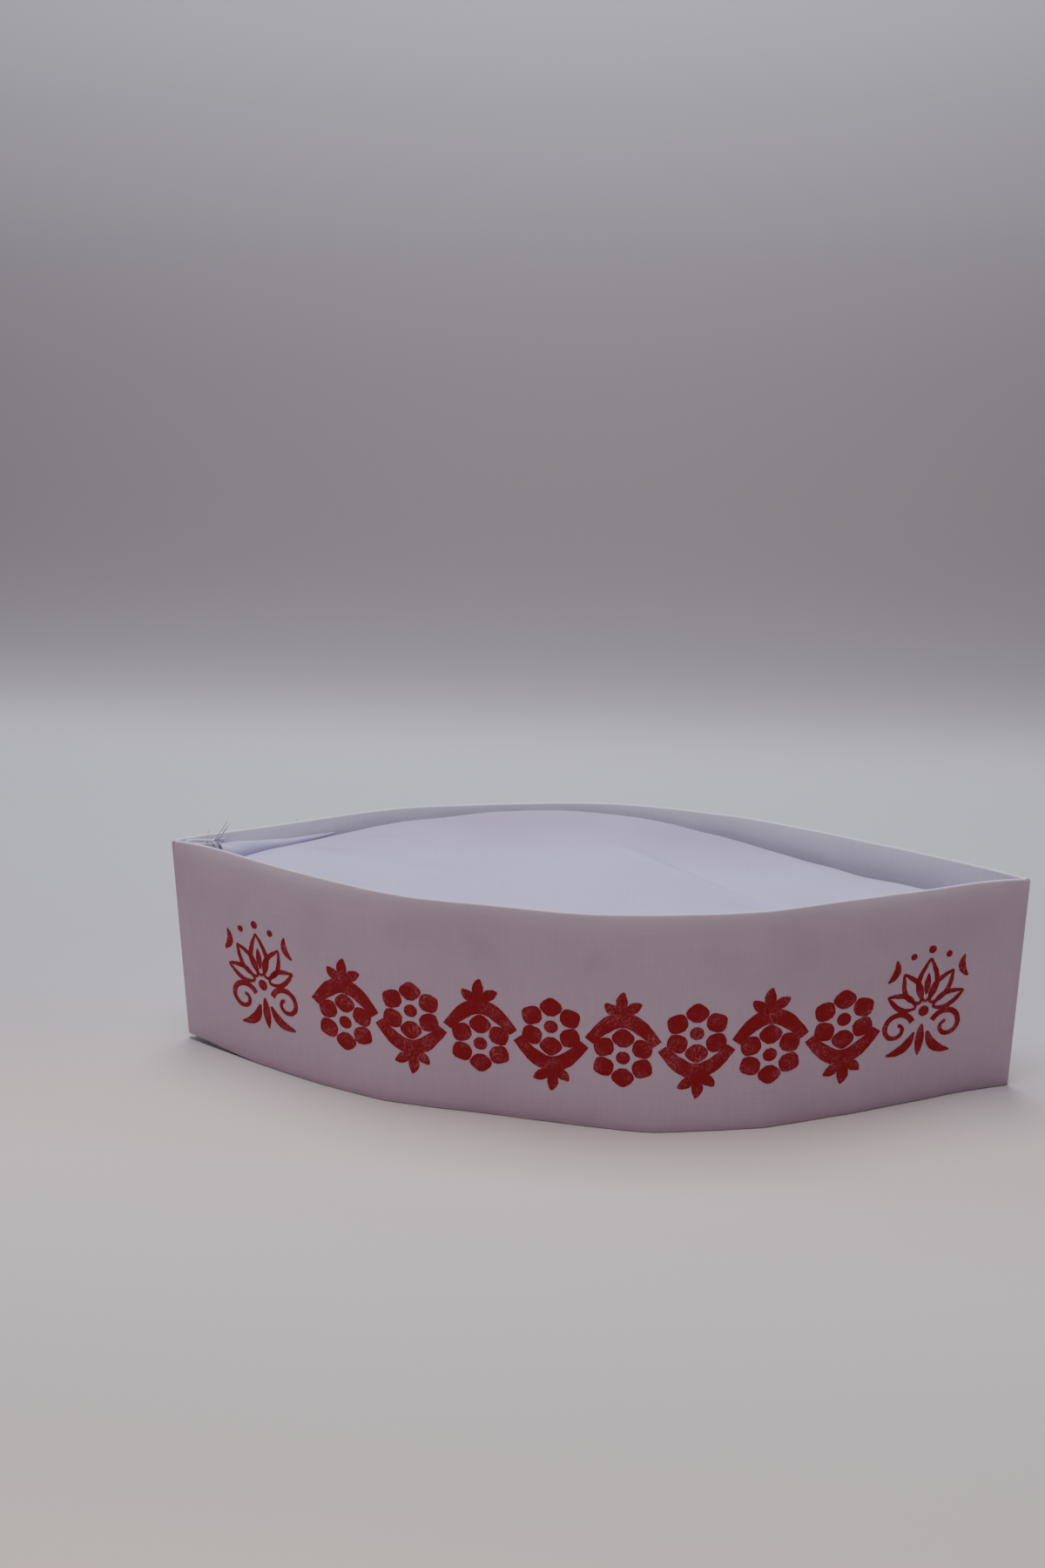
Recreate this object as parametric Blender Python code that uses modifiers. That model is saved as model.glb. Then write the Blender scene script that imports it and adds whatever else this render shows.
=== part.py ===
"""Gandhi cap: a folded cotton cap that stands on the lower edge of its band.

Metres, +Z up. X runs along the cap, +Y away from the wall that carries the print, and the origin is
at the centre of the bottom of the cap's box. Each sub-part is one named object: the band, the
crown's side and top, the rolled tuck at the left tip and the band's seam allowance inside that tip.
"""

import math

import bpy
import numpy as np

# Cap sizes, in metres
TIP_SPAN = 0.2658  # straight line between the two folded tips
BAND_HEIGHT = 0.071
NEAR_BULGE = 0.0385  # how far the near wall stands out from the line between the tips
FAR_BULGE = 0.0443
RIM_TO_RIDGE = 0.0035  # the crown's far edge, where it is highest, lies this far under the rim
RIDGE_HEIGHT = BAND_HEIGHT - RIM_TO_RIDGE
CROWN_END_INSET = 0.0105  # from a tip of the band to the end of the crown at the floor
CROWN_LEAN = 0.003  # how much nearer the middle each end of the crown is at its top
RIDGE_INSET = 0.007  # widest gap between the crown's top edge and the band
CROWN_PUFF = 0.0025
CREASE_DEPTH = 0.0008
CREASE_WIDTH = 0.006
TIP_LIFT = 0.002  # the left tip's lower corner stands this far off the floor
LIFT_REACH = 0.030

# Cloth and the gap between two layers of it
BAND_WALL = 0.0012
CROWN_WALL = 0.0010
FOLD_WALL = 0.0010
SEAM_WALL = 0.0010
CLEARANCE = 0.0003
EDGE_ROUNDING = 0.0003
JOIN_DISTANCE = 0.00001  # points nearer than this are one point
ROUNDED_ANGLE = 50  # edges sharper than this many degrees are rounded
SMOOTH_ANGLE = 40  # faces that turn by fewer degrees are shaded as one surface

# The rolled tuck and the seam allowance
FOLD_LENGTH = 0.032
FOLD_WIDTH = 0.0066
FOLD_RISE = 0.0024
FOLD_END_SHARE = 0.22  # how much of its width and rise is left where the tuck runs out
SEAM_DROP = 0.0015  # the allowance ends this far under the band's upper rim

# How finely the surfaces are divided
WALL_STEPS = 36  # along one wall, from tip to tip
BAND_ROWS = 2
SIDE_ROWS = 3
TOP_ROWS = 12
FOLD_STEPS = 12
FOLD_ARC_STEPS = 8
SEAM_STEPS = 4
CROWN_BLUNTNESS = 20  # the higher, the squarer the crown's two ends
TIP_PROBE = 0.04  # share of half the span from a tip, where the angle between the walls is taken

# Plan of each wall: along is the share of half the span, out is the share of the bulge
NEAR_PLAN = (
    # along, out
    (-1.00, 0.00),
    (-0.90, 0.16),
    (-0.60, 0.63),
    (-0.45, 0.79),
    (-0.20, 0.92),
    (0.08, 1.00),
    (0.18, 0.98),
    (0.42, 0.82),
    (0.60, 0.60),
    (0.90, 0.13),
    (1.00, 0.00),
)
FAR_PLAN = (
    # along, out
    (-1.00, 0.00),
    (-0.80, 0.31),
    (-0.60, 0.61),
    (-0.40, 0.82),
    (-0.12, 1.00),
    (0.10, 0.99),
    (0.30, 0.89),
    (0.50, 0.68),
    (0.70, 0.43),
    (0.90, 0.16),
    (1.00, 0.00),
)

# Crown's upper edge: along is the share of half its length, and the rest are shares of the sizes
RIDGE = (
    # along, far height, near height, far inset, near inset
    (-1.00, 0.958, 0.945, 0.50, 0.45),
    (-0.75, 0.965, 0.965, 0.45, 0.45),
    (-0.60, 0.992, 0.975, 0.43, 0.45),
    (0.17, 1.000, 0.985, 0.43, 0.50),
    (0.41, 0.952, 0.970, 0.65, 0.55),
    (0.64, 0.930, 0.945, 0.95, 0.60),
    (0.85, 0.922, 0.930, 1.00, 0.60),
    (1.00, 0.918, 0.920, 0.45, 0.40),
)

# The crease on the crown's top, from its far end to its near end
CREASE = (
    # along, across
    (0.03, 0.10),
    (0.40, -0.72),
)

HALF_SPAN = TIP_SPAN / 2
CHORD_Y = (NEAR_BULGE - FAR_BULGE) / 2  # puts the box's centre at the origin
NEAR, FAR = -1, 1


def through(rows, column, along):
    """A smooth curve through one column of a table, whose first column is along."""
    table = np.array(rows, float)
    place, value = table[:, 0], table[:, column]
    slope = np.gradient(value, place)
    before = np.clip(np.searchsorted(place, along) - 1, 0, len(place) - 2)
    after = before + 1
    step = place[after] - place[before]
    t = (along - place[before]) / step
    return (
        (1 + 2 * t) * (1 - t) ** 2 * value[before]
        + t * (1 - t) ** 2 * step * slope[before]
        + t**2 * (3 - 2 * t) * value[after]
        + t**2 * (t - 1) * step * slope[after]
    )


def ease(share):
    """Runs smoothly from 0 to 1 as share does."""
    share = np.clip(share, 0, 1)
    return share * share * (3 - 2 * share)


# The band's plan

SHARES = np.linspace(-1, 1, WALL_STEPS + 1)


def bulge_of(side, x):
    """How far a wall's outer face stands out from the line between the tips."""
    plan, bulge = (NEAR_PLAN, NEAR_BULGE) if side == NEAR else (FAR_PLAN, FAR_BULGE)
    full = through(plan, 1, SHARES).max()
    return bulge * through(plan, 1, np.clip(x / HALF_SPAN, -1, 1)) / full


def slope_of(side, x):
    step = TIP_SPAN / 1000
    return (bulge_of(side, x + step) - bulge_of(side, x - step)) / (2 * step)


def wall_y(side, x, depth=0.0):
    """Y of the surface that lies depth inside a wall's outer face."""
    inward = depth * np.sqrt(1 + slope_of(side, x) ** 2)
    return CHORD_Y + side * (bulge_of(side, x) - inward)


def tip_reach(layers):
    """How far from the left tip this total thickness of cloth fits between the walls."""
    near_tip = -(1 - TIP_PROBE) * HALF_SPAN
    opening = bulge_of(NEAR, near_tip) + bulge_of(FAR, near_tip)
    slant = math.hypot(1, opening / (TIP_PROBE * TIP_SPAN))
    return layers * slant * TIP_PROBE * HALF_SPAN / opening


def band_lift(x):
    """Height of the band's lower edge over the floor."""
    return TIP_LIFT * ease(1 - (x + HALF_SPAN) / LIFT_REACH)


# The crown's shape


def crown_end(rise):
    """Half the crown's length, from the floor at rise 0 to the ridge at rise 1."""
    return HALF_SPAN - CROWN_END_INSET - CROWN_LEAN * rise


def crown_edges(along, rise):
    """X, and the near and far Y, of the crown's outline at a share of its height."""
    x = crown_end(rise) * along
    touching = BAND_WALL + CLEARANCE
    near_gap = touching + rise * RIDGE_INSET * through(RIDGE, 4, along)
    far_gap = touching + rise * RIDGE_INSET * through(RIDGE, 3, along)
    near = wall_y(NEAR, x, near_gap)
    far = wall_y(FAR, x, far_gap)
    closing = np.sqrt(np.clip(1 - np.abs(along) ** CROWN_BLUNTNESS, 0, 1))
    middle, half = (near + far) / 2, (far - near) / 2 * closing
    return x, middle - half, middle + half


def crown_height(along, across):
    """Height of the crown's top, where across runs from -1 at the near edge to 1 at the far one."""
    far = RIDGE_HEIGHT * through(RIDGE, 1, along)
    near = RIDGE_HEIGHT * through(RIDGE, 2, along)
    height = near + (far - near) * (across + 1) / 2
    height = height + CROWN_PUFF * (1 - along**4) * (1 - across**2)
    return height - CREASE_DEPTH * crease_share(along, across)


def crease_share(along, across):
    """1 on the crease's line, falling to 0 a crease's width from it and past its ends."""
    (a0, c0), (a1, c1) = CREASE
    length = np.array(((a1 - a0) * crown_end(1), (c1 - c0) * NEAR_BULGE))
    x = (along - a0) * crown_end(1)
    y = (across - c0) * NEAR_BULGE
    reach = (x * length[0] + y * length[1]) / (length @ length)
    off = np.hypot(x - np.clip(reach, 0, 1) * length[0], y - np.clip(reach, 0, 1) * length[1])
    return np.exp(-((off / CREASE_WIDTH) ** 2))


# Objects


def cloth(name, colour, roughness=0.9):
    material = bpy.data.materials.new(name)
    material.use_nodes = True
    shader = material.node_tree.nodes["Principled BSDF"]
    shader.inputs["Base Color"].default_value = (*colour, 1)
    shader.inputs["Roughness"].default_value = roughness
    shader.inputs["Metallic"].default_value = 0
    material.diffuse_color = (*colour, 1)
    return material


def sheet(name, grid, material, thickness, offset, ring=False):
    """An object from a grid of points, rows of columns, thickened to one side by Solidify.

    With ring, the last column joins the first. Points that coincide are made one.
    """
    rows, columns = grid.shape[:2]
    spans = columns if ring else columns - 1
    faces = []
    for row in range(rows - 1):
        for column in range(spans):
            following = (column + 1) % columns
            low, high = row * columns, (row + 1) * columns
            faces.append((low + column, low + following, high + following, high + column))
    mesh = bpy.data.meshes.new(name)
    mesh.from_pydata(grid.reshape(-1, 3).tolist(), [], faces)
    piece = bpy.data.objects.new(name, mesh)
    collection.objects.link(piece)
    mesh.materials.append(material)
    weld = piece.modifiers.new("Join the ends", "WELD")
    weld.merge_threshold = JOIN_DISTANCE
    shell = piece.modifiers.new("Cloth", "SOLIDIFY")
    shell.thickness = thickness
    shell.offset = offset
    shell.use_even_offset = True
    mesh.shade_smooth()
    mesh.set_sharp_from_angle(angle=math.radians(SMOOTH_ANGLE))
    return piece


def loop_of(x, near, far):
    """Plan points round the cap, along the near wall to the right and back along the far one."""
    xs = np.concatenate([x, x[-2:0:-1]])
    ys = np.concatenate([near, far[-2:0:-1]])
    return xs, ys


def make_band():
    x = HALF_SPAN * SHARES
    xs, ys = loop_of(x, wall_y(NEAR, x), wall_y(FAR, x))
    low = band_lift(xs)
    rows = []
    for share in np.linspace(0, 1, BAND_ROWS + 1):
        rows.append(np.stack([xs, ys, low + (BAND_HEIGHT - low) * share], 1))
    band = sheet("band", np.array(rows), white, BAND_WALL, -1, ring=True)
    rounding = band.modifiers.new("Soft edges", "BEVEL")
    rounding.width = EDGE_ROUNDING
    rounding.segments = 2
    rounding.limit_method = "ANGLE"
    rounding.angle_limit = math.radians(ROUNDED_ANGLE)
    return band


def make_crown_side():
    rows = []
    for rise in np.linspace(0, 1, SIDE_ROWS + 1):
        x, near, far = crown_edges(SHARES, rise)
        xs, ys = loop_of(x, near, far)
        low = band_lift(xs) + CLEARANCE
        tops = [crown_height(SHARES, side) - CROWN_WALL - CLEARANCE for side in (NEAR, FAR)]
        top = loop_of(x, *tops)[1]
        rows.append(np.stack([xs, ys, low + (top - low) * rise], 1))
    return sheet("crown_side", np.array(rows), white_inner, CROWN_WALL, -1, ring=True)


def make_crown_top():
    x, near, far = crown_edges(SHARES, 1)
    rows = []
    for across in np.linspace(-1, 1, TOP_ROWS + 1):
        y = near + (far - near) * (across + 1) / 2
        rows.append(np.stack([x, y, crown_height(SHARES, across)], 1))
    return sheet("crown_top", np.array(rows), white_inner, CROWN_WALL, -1)


def crown_height_at(x, y):
    """Height of the crown's top at a place, or of its edge for a place past the edge."""
    along = np.clip(x / crown_end(1), -1, 1)
    _, near, far = crown_edges(along, 1)
    across = np.clip(2 * (y - near) / np.maximum(far - near, CLEARANCE) - 1, -1, 1)
    return crown_height(along, across)


def make_crown_fold():
    run = np.linspace(0, 1, FOLD_STEPS + 1)
    left = 1 - (1 - FOLD_END_SHARE) * run
    width, rise = FOLD_WIDTH * left, FOLD_RISE * left
    beside = BAND_WALL + CLEARANCE + FOLD_WALL
    foot_x = -crown_end(1) + FOLD_LENGTH * run
    foot_y = wall_y(FAR, foot_x, beside)
    slope = slope_of(FAR, foot_x)
    across = np.stack([slope, -np.ones_like(slope)]) / np.hypot(slope, 1)
    under = []
    for share in (0, 0.5, 1):
        place = across * width * share
        under.append(crown_height_at(foot_x + place[0], foot_y + place[1]))
    base = np.max(under, 0) + CLEARANCE
    rows = []
    for angle in np.linspace(0, math.pi, FOLD_ARC_STEPS + 1):
        place = across * width * (1 - math.cos(angle)) / 2
        points = [foot_x + place[0], foot_y + place[1], base + rise * math.sin(angle)]
        rows.append(np.stack(points, 1))
    return sheet("crown_fold", np.array(rows), white_inner, FOLD_WALL, -1)


def make_band_seam():
    layers = 2 * BAND_WALL + SEAM_WALL + 3 * CLEARANCE
    start = tip_reach(layers) - HALF_SPAN
    end = -crown_end(1) - FOLD_WALL - CLEARANCE
    x = np.linspace(start, end, SEAM_STEPS + 1)
    y = wall_y(FAR, x, BAND_WALL + CLEARANCE)
    low = band_lift(x) + CLEARANCE
    high = BAND_HEIGHT - SEAM_DROP + 0 * x
    grid = np.array([np.stack([x, y, z], 1) for z in (low, high)])
    return sheet("band_seam", grid, raw_edge, SEAM_WALL, 1)


for old in list(bpy.data.objects):
    bpy.data.objects.remove(old, do_unlink=True)

collection = bpy.data.collections.new("gandhi_cap")
bpy.context.scene.collection.children.link(collection)

white = cloth("white_cotton", (0.76, 0.75, 0.80))
white_inner = cloth("white_cotton_crown", (0.78, 0.77, 0.83))
raw_edge = cloth("raw_cotton_edge", (0.80, 0.79, 0.82), 0.95)

make_band()
make_crown_side()
make_crown_top()
make_crown_fold()
make_band_seam()
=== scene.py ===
"""Looks of the gandhi cap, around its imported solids.

Every length is in metres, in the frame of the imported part: X along the cap, +Y away from the
printed wall, +Z up. Shapes come from the same plan tables as the solids, made finer.
"""

import math

import bmesh
import bpy
import numpy as np
from mathutils import Matrix, Vector
from mathutils.bvhtree import BVHTree


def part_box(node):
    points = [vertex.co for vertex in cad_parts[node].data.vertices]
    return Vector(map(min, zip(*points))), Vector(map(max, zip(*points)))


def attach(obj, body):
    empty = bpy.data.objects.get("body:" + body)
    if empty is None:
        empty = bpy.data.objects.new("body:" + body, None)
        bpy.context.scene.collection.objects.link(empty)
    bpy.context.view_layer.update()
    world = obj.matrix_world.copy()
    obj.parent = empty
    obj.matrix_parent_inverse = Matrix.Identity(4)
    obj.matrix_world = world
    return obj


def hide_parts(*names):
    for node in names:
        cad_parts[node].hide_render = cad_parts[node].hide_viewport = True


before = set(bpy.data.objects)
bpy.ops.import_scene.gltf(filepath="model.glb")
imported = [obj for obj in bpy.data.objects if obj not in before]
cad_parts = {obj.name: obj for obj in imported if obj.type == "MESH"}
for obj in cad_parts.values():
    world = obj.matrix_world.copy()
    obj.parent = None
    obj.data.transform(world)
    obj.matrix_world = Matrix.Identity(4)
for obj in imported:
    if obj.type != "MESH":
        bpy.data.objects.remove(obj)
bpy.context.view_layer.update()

NEAR, FAR = -1, 1

NEAR_SHARE = 0.465  # of the band's depth, on the near side of the line between the tips

# Sizes read from the frame
BAND_LOW, BAND_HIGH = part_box("band")
HALF_SPAN = (BAND_HIGH[0] - BAND_LOW[0]) / 2
BAND_HEIGHT = BAND_HIGH[2]
BAND_DEPTH = BAND_HIGH[1] - BAND_LOW[1]
NEAR_BULGE = NEAR_SHARE * BAND_DEPTH
FAR_BULGE = BAND_DEPTH - NEAR_BULGE
CHORD_Y = BAND_LOW[1] + NEAR_BULGE
_, TOP_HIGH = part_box("crown_top")
_, SIDE_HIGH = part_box("crown_side")
CROWN_TOP_END = TOP_HIGH[0]
CROWN_FLOOR_END = SIDE_HIGH[0]
SEAM_LOW, SEAM_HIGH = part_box("band_seam")
FOLD_LOW, FOLD_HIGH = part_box("crown_fold")

# Cloth
BAND_CLOTH = 0.0010  # two plies
CROWN_CLOTH = 0.0005
TUCK_CLOTH = 0.00045
SEAM_PLY = 0.00035
LAYER_GAP = 0.0003
THREAD_PITCH = 0.00042  # one turn of the weave's pattern

# Steps and tolerances
PLAN_STEPS = 36  # along a wall, to find where it stands out most
SLOPE_STEPS = 500  # along half the span, to take a wall's slope
SAME_POINT = 0.000004  # points nearer than this are one point
NO_LENGTH = 0.000002  # an edge shorter than this is dropped

# The band
LEFT_TIP_RADIUS = 0.0011
RIGHT_TIP_RADIUS = 0.0004
LEAST_TIP_RADIUS = 0.00002
TIP_PROBE = 0.004  # how far from a tip the angle between the walls is taken
TIP_CALM = 14  # the higher, the nearer to a tip the walls' own bends fade out
TIP_LIFT = 0.002
LIFT_REACH = 0.030
FAR_FOOT_INSET = 0.0010
RIM_DROP = 0.0003  # mean height of the upper edge under the band's full height
BAND_ROWS = 42
RIM_STEPS = 6
INWARD = -0.2  # a face whose outward share of its normal is less than this is an inner one
ROW_CROWDING = 1.7  # the higher, the closer the band's rows lie towards its rim
RIM_LEANS = (
    # side, how far the rim leans back, over what depth below it, how much more at the two tips
    (NEAR, -0.0006, 0.0025, 0.0),
    (NEAR, -0.0006, 0.0120, 2.6),
    (FAR, 0.0027, 0.0090, 0.0),
)
LEAN_START, LEAN_REACH = 0.35, 0.35  # shares of half the span, where a rim leans more
BEND_ROUNDING = 0.15  # share of a bend's width over which its crest is rounded

# The crown
RIDGE_HEIGHT = 0.0675
RIDGE_INSET = 0.007
RIDGE_ROUNDING = 0.0016
CROWN_PUFF = 0.0025
CROWN_BLUNTNESS = 20  # the higher, the squarer the crown's two ends
CROWN_COLUMNS = 190
RIDGE_FOOT_SHARE = 0.7  # of the last row's height below the ridge, where its rounding starts
MOST_ROUNDING = 0.6  # of the crown's half width, near its two ends
LEAST_WIDTH = 0.00001
EDGE_CALM, EDGE_CALM_POWER = 0.6, 6  # how much of the puckers is gone at the edges
CREASE_ROUNDING = 0.02  # square of the share of a crease's width that is rounded
CREASE_ENDS = (0.12, 0.76)  # where a crease starts and how far it goes in half a turn

# The tuck, against the far ridge
FOLD_WIDTH = 0.0072
FOLD_RISE = 0.0042
FOLD_END_SHARE = 0.10  # of its width and rise, left where it runs out
FOLD_NARROWING = 1.15  # the higher, the longer the tuck stays wide
FOLD_SETBACK = 0.0018  # from the solid tuck's open end to this one's
FOLD_CLEARANCE = 0.0008
FOLD_LIFT = 0.0002
FOLD_ARC = (-0.25, math.pi + 0.12)

# The seam allowance
SEAM_START = 0.0003  # past the solid's two ends
SEAM_OVERRUN = 0.0022
SEAM_LOOSE = 0.0009  # how far the raw edge stands off the wall
SEAM_SAG = 0.0009  # how much lower the raw edge is than the sewn one
SEAM_ROWS, SEAM_COLUMNS = 90, 26
SEAM_FOOT_SHARE = 0.02  # of the band's height, where the plies start
SEAM_PLIES = (
    # depth, drop below the rim, how much narrower
    (0.0, 0.0006, -0.0012),
    (0.0007, 0.0016, 0.0),
)

# Frayed threads at the raw edge, a loose bundle and a few threads on the far rim
THREAD_TAPER = 0.5
THREAD_ASIDE = Vector((0.3, 0.9, 0.2))  # a direction that no thread runs along
THREAD_SEED = 5
FRAY_COUNT = 26
FRAY_HEADINGS = ((0.3, 1.0), (-0.9, 0.1), (-0.1, 0.9))  # least and most along X, Y, Z
FRAY_RADIUS = 0.00010
FRAY_START = 0.0019  # past the solid seam's end
FRAY_SPREAD = 0.0016
FRAY_SPREAD_DOWN = 0.03  # share of the band's height
FRAY_INSET = 0.0012  # inside the band's inner face, as is the bundle's
FRAY_DROP = 0.0018
FRAY_LENGTHS = (0.0018, 0.0050)
FRAY_WANDER = 0.22
BUNDLE_RADIUS = 0.00022
BUNDLE_SHIFTS = (0.0, 0.0005, 0.0009)
BUNDLE_START = 0.0002
BUNDLE_INSET = 0.0008
BUNDLE_DROP = 0.0028
BUNDLE_HEADING = (0.75, 0.1, 0.95)
BUNDLE_LENGTH = 0.0098
BUNDLE_WANDER = 0.04
RIM_FRAYS = (-0.1312, -0.1275, -0.1215, -0.0960)
RIM_FRAY_SWAY = (-0.4, 0.4)  # least and most along X
RIM_FRAY_HEADING = (-0.2, 1.0)  # along Y and Z
RIM_FRAY_DROP = 0.0005
RIM_FRAY_LENGTHS = (0.0012, 0.0024)
RIM_FRAY_WANDER = 0.3

# Soft noise laid on the shapes: height, wavelength, seed
WALL_NOISE = ((0.00016, 0.045, 3), (0.00005, 0.016, 9))
RIM_NOISE = (0.00018, 0.050, 21)
CROWN_NOISE = ((0.00034, 0.036, 31), (0.00009, 0.014, 32))
SIDE_NOISE = (0.0005, 0.035, 41)
SIDE_NOISE_SPAN = 0.06
TUCK_NOISE = (0.00025, 0.011, 51)
PLY_NOISE = (1.0, 0.020, 61)
PLY_TOP_NOISE = (0.0002, 0.004, 71)
PLY_EDGE_NOISE = (0.00025, 0.0035, 81)
NOISE_LENGTHS = (0.7, 1.5)  # shares of the wavelength that its waves may have

# The cloth's shades, with painted shade below the band's rim and on the crown's far side
PAINTED_SHADE_STRIP_FROM = (0.038, 0.054)  # heights in the band where the painted shade strip begins and is full
PAINTED_SHADE_STRIP_TO = (0.068, 0.058)  # heights where it ends and is full
PAINTED_SHADE_STRIP_COLOUR = (0.40, 0.37, 0.42, 1)
PAINTED_FAR_SHADE_REACH = (-0.004, 0.024)  # Y where the crown's painted shade on its far side begins and is full
PAINTED_FAR_SHADE_MOST = 0.95
PAINTED_FAR_SHADE_COLOUR = (0.41, 0.34, 0.51, 1)
BUMP_DEPTH = 0.00008
SLUB_ALONG, SLUB_ACROSS = 60, 2600  # noise waves in a metre, along a thread and across it
SLUBS_SPAN = (0.7, 1.3)  # what the two sets of slubs add up to, mostly
CLOUD_SPAN = (0.3, 0.7)  # what a noise texture gives, mostly
COTTON_CLOUDS = 22.0  # noise waves in a metre, as are the next four
PAINTED_SHADE_STRIP_CLOUDS = 55.0
INK_PATCHES = 180.0
INK_FLECKS = 1400.0
PAPER_CLOUDS = 3.0
MOST_GAP = 0.45  # share of the shade between threads, and again where a thread is thin
PAPER_CLOUD_COLOUR = (0.4, 0.38, 0.39, 1)

# The print: lengths in millimetres, on the near wall
INK_LIFT = 0.00005  # metres over the cloth
INK_RAGGED = 0.05
INK_SEED = 17
MILLIMETRE = 0.001
PRINT_RAY_START = -0.2  # Y in metres, well before the near wall
LEAF_ENDS = (0.06, 0.97)  # where a leaf starts and ends on half a turn of a sine
LEAF_FULLNESS = 0.8  # the lower, the fuller a leaf is near its ends
SPIRAL_CLOSING = 0.78  # share of a tendril's radius that is gone at its end
SPIRAL_THINNING = 0.6  # share of its width left there
DOT_REACH = 0.97  # share of a dot's radius that its stroke covers
PETAL_BULGE = 0.8  # the lower, the nearer its root a petal is widest
PETAL_LINE = (0.6, 1.0, 1.15, 1.0, 0.5)  # shares of its line's width, root to tip
VINE_PLACE = (0.0035, 0.0290)  # metres, its middle
VINE_LENGTH = 172.0
VINE_WAVES = 4
VINE_RISE = 8.4
VINE_GAP = 0.6
VINE_WIDTHS = (3.0, 4.8, 5.2, 4.8, 3.0)
FLOWER_RISE = 4.2
FLOWER_RADIUS = 9.8
FLOWER_PETALS = 6
FLOWER_PETAL_WIDTH = 6.8
FLOWER_RING, FLOWER_HEART = 0.36, 0.22  # shares of the flower's radius
SPRAY_OFFSET = 1.2
SPRAY_SIZE = 8.0
SPRAY_LEAVES = ((-52, 0.85), (0, 1.0), (52, 0.85))  # degrees aside, share of the size
SPRAY_ROOT, SPRAY_WIDTH, SPRAY_BEND = 0.14, 0.44, 0.08
LOTUS_FOOT = (0.0, -3.0)
LOTUS_HEART = 3.2
LOTUS_LINE = 1.5
LOTUS_PETALS = (
    # degrees aside, length, width
    (0, 17.5, 6.4),
    (-33, 15.5, 5.2),
    (33, 15.5, 5.2),
    (-66, 14.2, 4.4),
    (66, 14.2, 4.4),
)
LOTUS_VEIN = (5.6, 12.6, 2.2)  # from and to above the foot, width
LOTUS_STALK = (-7.4, -18.0, 3.0)  # from and to above the middle, width
LOTUS_EYE = 1.8
TENDRIL_CENTRE = (8.6, -8.4)
TENDRIL_START, TENDRIL_TURNS = 1.2, 1.15  # radians from upright, turns
TENDRIL_RADIUS, TENDRIL_WIDTH = 5.6, 2.0
SIDE_LEAVES = (
    # root across and up, tip across and up, width, bend
    (2.2, -10.0, 11.0, -17.2, 3.2, -0.18),
    (13.6, 7.6, 11.6, 14.8, 2.4, 0.2),
)
LOTUS_DOTS = (
    # across, up, radius
    (-6.0, 15.4, 1.1),
    (6.0, 15.4, 1.1),
    (0.0, 17.4, 1.3),
)
MEDALLIONS = (
    # name, along and up in metres, tilt in degrees
    ("print_left", -0.1008, 0.0325, 6.0),
    ("print_right", 0.1031, 0.0345, -4.0),
)

# The studio
CAMERA_PLACE = Vector((0.0417, -0.4876, 0.2916))
CAMERA_HEADING = Vector((-0.126, 0.992, 0)).normalized()
CAMERA_PITCH = math.radians(21.93)
CAMERA_ROLL = math.radians(0.44)
CAMERA_LENS = 40.0  # millimetres, as is the sensor
CAMERA_SENSOR = 36.0
CAMERA_NEAREST = 0.01
SWEEP_START = 0.36
SWEEP_RADIUS = 0.28
SWEEP_STEPS = 16
STUDIO_SIDE = 1.6
SWEEP_END = 2.6  # metres along the sweep at the end of its painted light and shade
LIGHTS = (
    # name, place, target, size, watts, colour
    ("key", (-0.05, 0.04, 0.95), (0.0, 0.04, 0.0), (0.7, 0.40), 10.0, (0.95, 0.97, 1.0)),
    ("side", (-1.10, 0.35, 0.55), (0.0, 0.0, 0.05), (0.4, 0.4), 1.6, (0.90, 0.94, 1.0)),
    ("fill", (-0.75, -1.15, 0.35), (0.0, 0.0, 0.03), (0.8, 0.5), 0.3, (1.0, 0.25, 0.32)),
)
WORLD_COLOUR = (1.0, 0.86, 0.90, 1)
WORLD_STRENGTH = 0.01

NEAR_PLAN = (
    # along, out: shares of half the span and of the near bulge
    (-1.00, 0.00),
    (-0.90, 0.16),
    (-0.60, 0.63),
    (-0.45, 0.79),
    (-0.20, 0.92),
    (0.08, 1.00),
    (0.18, 0.98),
    (0.42, 0.82),
    (0.60, 0.60),
    (0.90, 0.13),
    (1.00, 0.00),
)
FAR_PLAN = (
    # along, out: shares of half the span and of the far bulge
    (-1.00, 0.00),
    (-0.80, 0.31),
    (-0.60, 0.61),
    (-0.40, 0.82),
    (-0.12, 1.00),
    (0.10, 0.99),
    (0.30, 0.89),
    (0.50, 0.68),
    (0.70, 0.43),
    (0.90, 0.16),
    (1.00, 0.00),
)
RIDGE = (
    # along, far height, near height, far inset, near inset
    (-1.00, 0.958, 0.945, 0.50, 0.45),
    (-0.75, 0.965, 0.965, 0.45, 0.45),
    (-0.60, 0.992, 0.975, 0.43, 0.45),
    (0.17, 1.000, 0.985, 0.43, 0.50),
    (0.41, 0.952, 0.970, 0.65, 0.55),
    (0.64, 0.930, 0.945, 0.95, 0.60),
    (0.85, 0.922, 0.930, 1.00, 0.60),
    (1.00, 0.918, 0.920, 0.45, 0.40),
)
NEAR_LEAN = (
    # along, how much further out the near wall's foot stands than its rim
    (-1.00, 0.0014),
    (-0.80, 0.0006),
    (-0.50, 0.0000),
    (-0.25, -0.0014),
    (0.00, -0.0010),
    (0.15, 0.0010),
    (0.42, 0.0012),
    (0.70, 0.0006),
    (1.00, -0.0004),
)
WALL_BENDS = (
    # side, along, out, width, share of it left at the rim
    (NEAR, -0.45, 0.00080, 0.009, 0.3),
    (NEAR, 0.175, 0.00110, 0.010, 0.2),
    (NEAR, 0.42, 0.00110, 0.010, 0.2),
    (NEAR, 0.80, 0.00030, 0.005, 0.9),
    (FAR, -0.48, 0.00080, 0.008, 1.0),
    (FAR, 0.36, 0.00060, 0.008, 1.0),
    (FAR, 0.72, 0.00050, 0.008, 1.0),
)
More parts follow.
